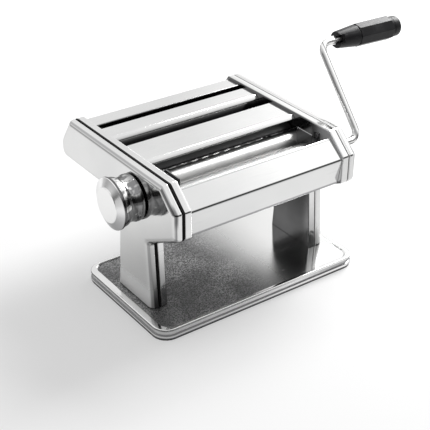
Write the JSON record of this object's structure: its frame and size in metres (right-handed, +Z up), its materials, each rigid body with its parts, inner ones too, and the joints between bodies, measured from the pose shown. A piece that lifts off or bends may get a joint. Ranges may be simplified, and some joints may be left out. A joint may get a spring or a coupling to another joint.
{
  "type": "pasta roller machine",
  "caption": "Hand-cranked pasta roller machine: smooth rollers with a gap set by a side knob, cutter pairs behind them, a T-shaped steel body on a flat base and a removable bent crank.",
  "frame": {"origin": "centre of the base's underside, on the surface that the machine stands on", "axes": "+X along the rollers towards the crank, +Y away from the side where the rolled sheet comes out, +Z up"},
  "size_m": [0.3773, 0.1999, 0.2085],
  "materials": {
    "polished_steel": "mirror-polished stainless sheet",
    "plain_steel": "plain bright-drawn steel",
    "roller_alloy": "fine-turned anodised alloy",
    "dark_plate": "satin dark coating",
    "bearing_nylon": "matte moulded nylon",
    "black_plastic": "semi-gloss moulded plastic",
    "sole_rubber": "matte black rubber"
  },
  "bodies": {
    "frame": {"left_side_plate": "dark_plate", "left_inner_cover": "polished_steel", "left_outer_cover": "polished_steel", "left_dough_guide": "polished_steel", "left_guide_rivet": "plain_steel", "right_side_plate": "dark_plate", "right_inner_cover": "polished_steel", "right_outer_cover": "polished_steel", "right_dough_guide": "polished_steel", "right_guide_rivet": "plain_steel", "base_sole": "sole_rubber", "base_shell": "polished_steel", "left_front_foot_screw": "plain_steel", "left_rear_foot_screw": "plain_steel", "right_front_foot_screw": "plain_steel", "right_rear_foot_screw": "plain_steel", "front_bar": "polished_steel", "front_slat": "polished_steel", "middle_slat": "polished_steel", "rear_bar": "polished_steel", "front_tie": "plain_steel", "front_slat_tie": "plain_steel", "middle_slat_tie": "plain_steel", "rear_tie": "plain_steel", "left_roller_bush": "bearing_nylon", "left_cutter_bearing": "bearing_nylon", "right_roller_bush": "bearing_nylon", "right_cutter_bearing": "bearing_nylon", "left_adjuster_bridge": "plain_steel", "right_adjuster_bridge": "plain_steel", "wide_cutter_comb": "plain_steel", "narrow_cutter_comb": "plain_steel", "front_roller_scraper": "plain_steel", "rear_roller_scraper": "plain_steel"},
    "front_roller": {"front_roller": "roller_alloy", "front_roller_gear": "plain_steel"},
    "crank": {"crank_rod": "polished_steel", "grip_washer": "plain_steel"},
    "grip": {"crank_grip": "black_plastic", "grip_cap": "black_plastic"},
    "roller_carriage": {"left_bearing_block": "plain_steel", "right_bearing_block": "plain_steel"},
    "rear_roller": {"rear_roller": "roller_alloy", "rear_roller_gear": "plain_steel"},
    "adjuster": {"adjuster_shaft": "plain_steel", "left_adjuster_cam": "plain_steel", "right_adjuster_cam": "plain_steel", "knob_screw": "plain_steel", "knob_spring": "plain_steel"},
    "knob": {"knob_body": "polished_steel", "knob_face": "polished_steel", "index_pin": "plain_steel"},
    "wide_cutter_front": {"wide_cutter_front": "roller_alloy", "wide_cutter_front_gear": "plain_steel"},
    "wide_cutter_rear": {"wide_cutter_rear": "roller_alloy", "wide_cutter_rear_gear": "plain_steel"},
    "narrow_cutter_front": {"narrow_cutter_front": "roller_alloy", "narrow_cutter_front_gear": "plain_steel"},
    "narrow_cutter_rear": {"narrow_cutter_rear": "roller_alloy", "narrow_cutter_rear_gear": "plain_steel"}
  },
  "joints": [
    {"name": "crank_turn", "type": "hinge", "parent": "frame", "child": "front_roller", "pos_m": [0, -0.0331, 0.1203], "axis": [1, 0, 0], "continuous": true},
    {"name": "crank_pull", "type": "slide", "parent": "front_roller", "child": "crank", "axis": [1, 0, 0], "range_m": [0, 0.03]},
    {"name": "grip_spin", "type": "hinge", "parent": "crank", "child": "grip", "pos_m": [0.1414, 0.0324, 0.1978], "axis": [0.9997, 0, -0.025], "continuous": true},
    {"name": "knob_turn", "type": "hinge", "parent": "frame", "child": "adjuster", "pos_m": [0, -0.0058, 0.1203], "axis": [-1, 0, 0], "range_deg": [0, 180]},
    {"name": "knob_pull", "type": "slide", "parent": "adjuster", "child": "knob", "axis": [-1, 0, 0], "range_m": [0, 0.004], "stiffness_N_per_m": 800, "springref_m": -0.004, "deforming": ["knob_spring"]},
    {"name": "gap_slide", "type": "slide", "parent": "frame", "child": "roller_carriage", "axis": [0, -1, 0], "range_m": [0, 0.0022]},
    {"name": "rear_roller_spin", "type": "hinge", "parent": "roller_carriage", "child": "rear_roller", "pos_m": [0, -0.0047, 0.1203], "axis": [1, 0, 0], "continuous": true},
    {"name": "wide_cutter_front_turn", "type": "hinge", "parent": "frame", "child": "wide_cutter_front", "pos_m": [0, 0.03845, 0.119], "axis": [1, 0, 0], "continuous": true},
    {"name": "wide_cutter_rear_turn", "type": "hinge", "parent": "frame", "child": "wide_cutter_rear", "pos_m": [0, 0.05595, 0.119], "axis": [1, 0, 0], "continuous": true},
    {"name": "narrow_cutter_front_turn", "type": "hinge", "parent": "frame", "child": "narrow_cutter_front", "pos_m": [0, 0.07745, 0.119], "axis": [1, 0, 0], "continuous": true},
    {"name": "narrow_cutter_rear_turn", "type": "hinge", "parent": "frame", "child": "narrow_cutter_rear", "pos_m": [0, 0.09495, 0.119], "axis": [1, 0, 0], "continuous": true}
  ],
  "couplings": [
    {"joint": "gap_slide", "follows": "knob_turn", "m_per_rad": 0.00070028},
    {"joint": "rear_roller_spin", "follows": "crank_turn", "ratio": -1},
    {"joint": "wide_cutter_rear_turn", "follows": "wide_cutter_front_turn", "ratio": -1},
    {"joint": "narrow_cutter_rear_turn", "follows": "narrow_cutter_front_turn", "ratio": -1}
  ]
}
